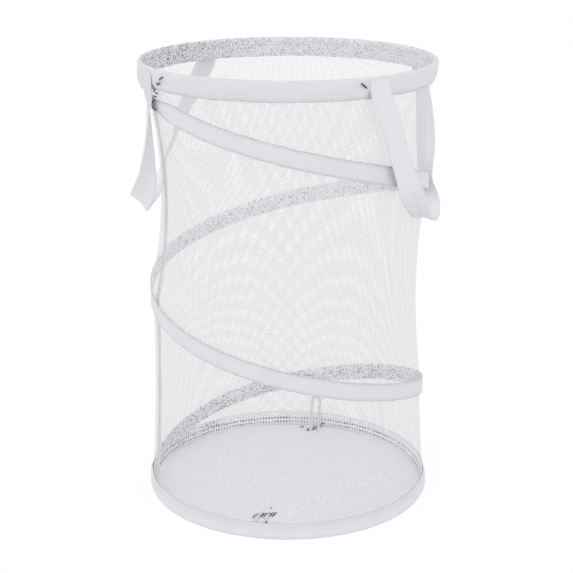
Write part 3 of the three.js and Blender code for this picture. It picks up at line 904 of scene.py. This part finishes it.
RIGHT_RUN = [
    (180.6, -41.2, 549, 0), (180.3, -40.9, 538, 0), (180.8, -39.8, 526, 0), (181.8, -37.7, 508, 0),
    (182, -35, 487, 0), (182, -31, 454, 4), (182, -27.2, 428, 14), (182, -24, 412, 38),
    (180, -19.5, 396, 62), (176, -13, 379, 84), (173.5, -4, 367, 86), (173.5, 5, 366, 82),
    (174, 12, 368, 62), (175.5, 20, 374, 24), (177.2, 27, 388, 12), (180, 30.5, 410, 20),
    (183, 33, 440, 32), (183.5, 35.8, 480, 18), (182.8, 38.2, 505, 5), (181.2, 39.4, 523, 0),
    (180.3, 40, 538, 0), (180.6, 40, 549, 0),
]
LEFT_RUN = [
    (180.6, -39.8, 549, 0), (180.5, -39.6, 529, 0), (181.8, -36.2, 507, 0), (182, -30, 480, 6),
    (181.5, -26.8, 466, 12), (181.5, -23, 447, 22), (181, -18.6, 425, 27), (181, -13.6, 406, 27),
    (181, -8.5, 390, 32), (181, -1, 378, 58), (181.5, 8, 373, 86), (182, 17, 375, 88),
    (182.5, 27, 385, 84), (183, 35, 403, 74), (183.5, 39.2, 424, 64), (183, 40.6, 446, 54),
    (182, 40.9, 462, 43), (180.5, 40.8, 496, 25), (179, 40.3, 515, 8), (180.3, 40, 530, 0),
    (180.6, 40, 549, 0),
]


def strap(side, run, tilt, colour, light_and_shade_steps):
    """One webbing handle, sewn to the rim sleeve at both ends. Where its lower part is turned edge out,
    the far edge lifts by the tilt. The left one is made on the right and swung round."""
    name = "right" if side > 0 else "left"
    count = 150
    stops = [(*on_hamper(*stop[:3]), math.radians(stop[3])) for stop in run]
    line = through(stops, count + 1)
    line, turn = line[:, :3], line[:, 3]
    angle = np.arctan2(line[:, 1], line[:, 0])
    leg = np.where(np.arange(count + 1) < line[:, 2].argmin(), 1, -1)
    lean = turn * tilt / 90
    outward = on_ring(np.cos(lean), angle, np.sin(lean))
    inwards = (side * leg * np.cos(turn))[:, None] * on_ring(1.0, angle + math.pi / 2, 0.0)
    across_way = inwards + np.sin(turn)[:, None] * outward
    for _ in range(4):
        across_way[1:-1] = (across_way[:-2] + 2 * across_way[1:-1] + across_way[2:]) / 4
    ahead = made_unit(np.gradient(line, axis=0))
    across_way = made_unit(across_way - (across_way * ahead).sum(1)[:, None] * ahead)
    face_way = np.cross(ahead, across_way)
    total = length_of(line)
    hug = eased(line[:, 2], *STRAP_HUGS)
    radial = made_unit(line * (1, 1, 0))

    def place(along, across):
        spot = along * count
        x = (across - 0.5) * STRAP_WIDTH
        held = np.interp(spot, np.arange(count + 1), hug)
        cup = -(x**2) / (2 * RADIUS) * held
        soft = (1 - held) * 0.0010 * np.cos(across * 2 * math.pi)
        point = read_between(line, spot)
        for way, far in ((across_way, x), (radial, cup), (face_way, soft)):
            point = point + read_between(way, spot) * far[:, None]
        return point

    piece = cloth_of(f"{name}_handle_webbing", count, 12, place, (total, STRAP_WIDTH))
    if side < 0:
        choose(piece)
        bpy.ops.transform.rotate(value=math.pi, orient_axis="Z", center_override=(0, 0, 0))
        bpy.ops.object.transform_apply(location=True, rotation=True, scale=True)
    thicken(piece, STRAP_THICKNESS)
    finished_with(piece, "BEVEL", width=0.0005, segments=2, limit_method="ANGLE")
    soften(piece)
    dress(piece, None, webbing_cloth(f"{name} webbing", colour, light_and_shade_steps))
    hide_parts(f"{name}_handle_strap", f"{name}_handle_front_end", f"{name}_handle_back_end")
    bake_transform(piece)


# Side seam, floor panel, closure loops

def side_seam():
    low, high, radius, inset = 0.022, 0.5255, 0.170, 0.0016

    def place(along, across):
        height = low + (high - low) * along
        angle = SEAM_ANGLE + (across - 0.5) * SEAM_WIDTH / radius
        inside = wall_radius(np.full(angle.shape, SEAM_ANGLE), height) - inset
        folds = 0.0005 * np.cos(across * 6 * math.pi) + 0.0003 * np.sin(height * 90 + across * 5)
        return on_ring(inside + folds, angle, height)

    size = (high - low, SEAM_WIDTH)
    seam = cloth_of("side_seam_binding", 150, 18, place, size)
    thicken(seam, 0.0006)
    soften(seam, 60)
    dress(seam, "base", seam_cloth("doubled net at the seam", shade(240, 240, 244)))
    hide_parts("side_seam_tape")
    press_with_collapse(seam)


def floor_panel():
    """The cloth floor, slack by a hair, with its edge turned up to the hoop's sleeve."""
    reach, lowest = 0.1728, 0.00045
    deselect()
    bpy.ops.mesh.primitive_circle_add(vertices=COLUMNS // 2, radius=reach, fill_type="TRIFAN")
    panel = bpy.context.object
    panel.name = panel.data.name = "floor_panel_cloth"
    with editing(panel):
        bpy.ops.mesh.subdivide(number_cuts=11)
        bpy.ops.mesh.remove_doubles(threshold=SAME_POINT)
    points = points_of(panel.data)
    r = np.hypot(points[:, 0], points[:, 1])
    wave = ripple(points[:, 0] * 60, (1, 0.4, 0.00028))
    wave = wave + ripple(points[:, 1] * 48 + points[:, 0] * 25, (1, 1.0, 0.00025))
    points[:, 2] = 0.0009 + (1 - eased(r, 0.150, reach)) * (wave * 0.5 + 0.00035)
    points[:, 2] = np.maximum(points[:, 2] + eased(r, 0.168, reach) * 0.0004, lowest)
    panel.data.vertices.foreach_set("co", points.ravel())
    lay_out(panel.data, points[:, :2] + 0.2)
    thicken(panel, 0.0008)
    soften(panel, 60)
    # Painted light: the floor cloth's colour is raised to make up for the shade inside the hamper
    cloth = Cloth("floor panel cloth", shade(234, 233, 239), pitch=0.35, grain=0.15, uneven=0.3)
    dress(panel, "base", cloth.finished())
    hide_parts("base_panel")


def piping():
    """The welt that binds the floor panel to the base sleeve."""
    angle = np.linspace(0, 2 * math.pi, COLUMNS, endpoint=False)
    r = 0.1722 + ripple(angle, (9, 0.2, 0.0002), (21, 1.0, 0.00012))
    line = on_ring(r, angle, 0.0030 + ripple(angle, (5, 0.0, 0.0004)))
    welt = round_rod("floor_piping", np.vstack([line, line[:1]]), 0.0011)
    dress(welt, "base", plain_finish("piping cloth", shade(238, 238, 243), 400.0))


def closure_loop(name, foot, turn, lean, sway):
    """An elastic band folded back on itself, from its tacked foot to its round end. It points the way of
    the turn, rises by the lean and bows by the sway."""
    half, reach, width, count = 0.0055, 0.0425, 0.004, 90
    bend = np.linspace(-math.pi / 2, math.pi / 2, 17)
    outline = [(reach * share, -half) for share in (0.0, 0.25, 0.5, 0.75)]
    outline += [(reach + half * math.cos(b), half * math.sin(b)) for b in bend]
    outline += [(reach * share, half) for share in (0.75, 0.5, 0.25, 0.0)]
    line = through([(x, y, 0.0) for x, y in outline], count + 1)
    side = np.cross(made_unit(np.gradient(line, axis=0)), (0, 0, 1.0))

    def place(along, across):
        point = read_between(line, along * count)
        point = point + read_between(side, along * count) * ((across - 0.5) * width)[:, None]
        up = sway * np.sin(np.clip(point[:, 0] / 0.05, 0, 1) * math.pi)
        x = point[:, 0] * math.cos(lean) - up * math.sin(lean)
        z = point[:, 0] * math.sin(lean) + up * math.cos(lean)
        return np.stack([
            foot[0] + x * math.cos(turn) - point[:, 1] * math.sin(turn),
            foot[1] + x * math.sin(turn) + point[:, 1] * math.cos(turn),
            foot[2] + z], -1)

    size = (length_of(line), width)
    loop = cloth_of(f"{name}_elastic_loop", count, 6, place, size)
    thicken(loop, 0.0010)
    soften(loop)
    dress(loop, f"{name}_loop", elastic_cloth(f"{name} elastic", shade(232, 232, 236)))
    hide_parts(f"{name}_closure_loop")


def loop_patch(name, y):
    """The folded end of an elastic loop under its tack."""
    half_length, half_width, low, thick = 0.0098, 0.0038, 0.00135, 0.0007

    def place(along, across):
        u, v = (along - 0.5) * 2, (across - 0.5) * 2
        swell = (1 - abs(u) ** 6) * (1 - abs(v) ** 4)
        return np.stack([u * half_length, y + v * half_width, low + swell * thick], -1)

    patch = cloth_of(f"{name}_loop_patch", 24, 12, place, (0.020, 0.008))
    thicken(patch, 0.0005)
    soften(patch)
    cloth = Cloth(f"{name} patch cloth", shade(230, 229, 235), grain=0.4)
    dress(patch, "base", cloth.finished())
    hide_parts(f"{name}_closure_loop_end")


# Dark sewing thread, and one dot of painted shade made the same way. Each stroke on a sleeve or the net
# has its two ends, and each end is a radius in millimetres, degrees round and a height in millimetres

LEFT_RIM_STROKES = [
    ((180.9, 233.6, 546.0), (180.9, 231.0, 541.6)),
    ((180.4, 229.0, 537.5), (180.2, 230.1, 535.2)),
    ((180.2, 230.1, 535.2), (180.4, 231.2, 538.8)),
]
LEFT_WALL_STROKES = [
    ((177.4, 225.5, 528.7), (176.4, 224.4, 524.6)),
    ((176.4, 225.2, 525.0), (175.8, 227.1, 523.4)),
    ((175.8, 222.8, 519.8), (175.6, 225.8, 519.4)),
    ((175.4, 223.3, 514.8), (175.3, 221.6, 510.0)),
    ((175.3, 220.8, 506.6), (175.2, 224.5, 503.1)),
]
RIGHT_RIM_STROKES = [((181.0, 310.7, 546.4), (181.0, 313.2, 540.3))]
LOOSE_THREAD = [
    ((180.6, 313.4, 537.5), (180.0, 314.5, 532.5)),
    ((180.0, 314.5, 532.5), (178.9, 314.8, 528.2)),
    ((178.9, 314.8, 528.2), (179.0, 313.9, 528.0)),
    ((179.0, 313.9, 528.0), (180.0, 313.8, 532.6)),
]
# A dark dot on the net where the right handle's front leg meets the first turn's upper edge: painted shade,
# drawn as a short dark stroke
SHADE_DOT = [((176.6, 325.4, 447.2), (176.6, 325.8, 446.4))]

DARK_THREAD = (34, 33, 37)
GREY_THREAD = (150, 150, 154)


def stroke(start, end, lift):
    """A short length of thread, arched over the cloth by its lift."""
    return np.array(start), np.array(end), np.array(lift)


def strokes_round(ends):
    """Strokes on the outside of a sleeve or the net."""
    strokes = []
    for pair in ends:
        start, end = (on_hamper(*place) for place in pair)
        strokes.append(stroke(start, end, made_unit(start * (1, 1, 0)) * 0.0005))
    return strokes


def row_of_strokes(start, end, count, slant, lift):
    """Strokes side by side along a line, as a bar tack shows them, each from one side of it to the other."""
    start, end, slant = np.array(start), np.array(end), np.array(slant)
    middles = [start + (end - start) * i / (count - 1) for i in range(count)]
    return [stroke(middle - slant, middle + slant, (0, 0, lift)) for middle in middles]


def tack(name, body, strokes, radius, colour=DARK_THREAD):
    """Dark strokes made of round rods: sewing thread, and the dot of painted shade."""
    rods = []
    for index, (start, end, lift) in enumerate(strokes):
        t = np.linspace(0, 1, 6)[:, None]
        line = start + (end - start) * t + lift * (4 * t * (1 - t))
        rods.append(round_rod(f"{name}_{index}", line, radius, rounded=True))
    deselect()
    for rod in rods:
        rod.select_set(True)
    bpy.context.view_layer.objects.active = rods[0]
    bpy.ops.object.join()
    joined = bpy.context.object
    joined.name = joined.data.name = name
    soften(joined)
    thread = plain_finish(f"{name} thread", shade(*colour), 2500.0, low=0.7, high=1.4, roughness=0.5)
    dress(joined, body, thread)
    return joined


def dark_stitches_and_shade_dot():
    tack("left_handle_tack", "rim", strokes_round(LEFT_RIM_STROKES), 0.00072)
    press_with_collapse(tack("left_wall_tack", "base", strokes_round(LEFT_WALL_STROKES), 0.00072))
    tack("right_handle_tack", "rim", strokes_round(RIGHT_RIM_STROKES), 0.0009)
    tack("right_handle_loose_thread", "rim", strokes_round(LOOSE_THREAD), 0.00025, GREY_THREAD)
    # The dot of painted shade by the right handle
    press_with_collapse(tack("wall_shade_dot", "base", strokes_round(SHADE_DOT), 0.0006))
    front = row_of_strokes(
        (-0.0096, -0.1255, 0.0025), (0.0122, -0.1165, 0.0025), 7, (0.0013, 0.0058, 0), 0.0004)
    front.append(stroke((0.0085, -0.1365, 0.0022), (0.0098, -0.1438, 0.0022), (0, 0, 0.0008)))
    front.append(stroke((0.0038, -0.0990, 0.0020), (0.0047, -0.1015, 0.0020), (0, 0, 0.0006)))
    tack("front_loop_tack", "base", front, 0.0012)
    back = row_of_strokes(
        (-0.0100, 0.1530, 0.0027), (0.0045, 0.1670, 0.0027), 6, (0.0012, 0.0056, 0), 0.0005)
    back.append(stroke((0.0045, 0.1717, 0.0048), (0.0085, 0.1720, 0.0068), (0, -0.0006, 0)))
    back.append(stroke((-0.0237, 0.1600, 0.0020), (-0.0181, 0.1612, 0.0020), (0, 0, 0.0006)))
    tack("back_loop_tack", "base", back, 0.0012)


# The hoops and their ferrules keep their solids
for name in ("rim_hoop", "base_hoop", "rim_hoop_ferrule", "base_hoop_ferrule"):
    frame["nodes"][name].data.materials.clear()
    frame["nodes"][name].data.materials.append(steel_finish(f"{name} steel"))

rim_sleeve()
base_sleeve()
net_wall()
side_seam()
spiral_tape()
spiral_wire()
floor_panel()
piping()
closure_loop("back", (0.0, 0.1500, 0.0032), turn=math.pi / 2, lean=math.radians(75), sway=0.0015)
closure_loop("front", (0.0, -0.1180, 0.0032), turn=-math.pi / 2, lean=0.0, sway=0.0004)
loop_patch("back", 0.150)
loop_patch("front", -0.118)
# Handle colours carry painted light and shade: each leg seen from inside the hamper is lighter, and the top
# of the left one's front leg is darker
strap(1, RIGHT_RUN, -5, shade(220, 220, 225), [(195, 290, 1.12)])
strap(-1, LEFT_RUN, 50, shade(238, 237, 242), [(190, 290, 0.89), (425, 455, 0.785)])
dark_stitches_and_shade_dot()


# Floor, light and camera. To the eye the floor is nearly white and the backdrop is white

SEEN_GLOW = 0.9
WHITE = (1, 1, 1, 1)

deselect()
bpy.ops.mesh.primitive_plane_add(size=60, location=(0, 0, -0.0002))
ground = bpy.context.object
ground.name = "ground"
pale = Finish("pale floor", roughness=0.95)
pale.colour(shade(250, 250, 250))
glow = pale.node("ShaderNodeEmission", {"Color": WHITE, "Strength": 1.0})
seen = pale.looked_at() * SEEN_GLOW
mixed = pale.node("ShaderNodeMixShader", {0: seen, 1: pale.shader.outputs[0], 2: glow.outputs[0]})
pale.feed(pale.output.inputs[0], mixed.outputs[0])
ground.data.materials.append(pale.material)

world = bpy.data.worlds.new("studio")
bpy.context.scene.world = world
world.use_nodes = True
studio = Nodes(world.node_tree)
soft_box = studio.node("ShaderNodeBackground", {"Color": WHITE, "Strength": 1.03})
backdrop = studio.node("ShaderNodeBackground", {"Color": WHITE, "Strength": 1.0})
chooser = studio.node(
    "ShaderNodeMixShader", {0: studio.looked_at(), 1: soft_box.outputs[0], 2: backdrop.outputs[0]})
studio.node("ShaderNodeOutputWorld", {0: chooser.outputs[0]})

for name, place, power, size in (
    ("key", (-0.9, -1.9, 2.1), 6.8, 1.8),
    ("fill", (1.9, -1.0, 1.4), 3.0, 1.8),
):
    lamp = bpy.data.lights.new(name, "AREA")
    lamp.energy, lamp.size = power, size
    holder = bpy.data.objects.new(name, lamp)
    bpy.context.scene.collection.objects.link(holder)
    holder.location = place
    aim = Vector((0, 0, 0.28)) - holder.location
    holder.rotation_mode = "QUATERNION"
    holder.rotation_quaternion = aim.to_track_quat("-Z", "Y")

# The photograph's own view, fitted to the hamper's hoops, sleeves and spiral
lens = bpy.data.cameras.new("camera")
lens.sensor_width = 36
lens.lens = 89.0967
lens.shift_x = 0.01292
lens.shift_y = 0.04245
lens.clip_start, lens.clip_end = 0.05, 100
camera = bpy.data.objects.new("camera", lens)
bpy.context.scene.collection.objects.link(camera)
camera.location = (0.42752, -1.65319, 0.80249)
heading, pitch, roll = math.radians(14.8751), math.radians(18.5123), math.radians(-0.15057)
level = math.cos(pitch)
forward = Vector((-math.sin(heading) * level, math.cos(heading) * level, -math.sin(pitch)))
camera.rotation_mode = "QUATERNION"
camera.rotation_quaternion = forward.to_track_quat("-Z", "Y") @ Quaternion((0, 0, 1), roll)
bpy.context.scene.camera = camera
bpy.context.scene.view_settings.view_transform = "Standard"

bpy.context.view_layer.update()
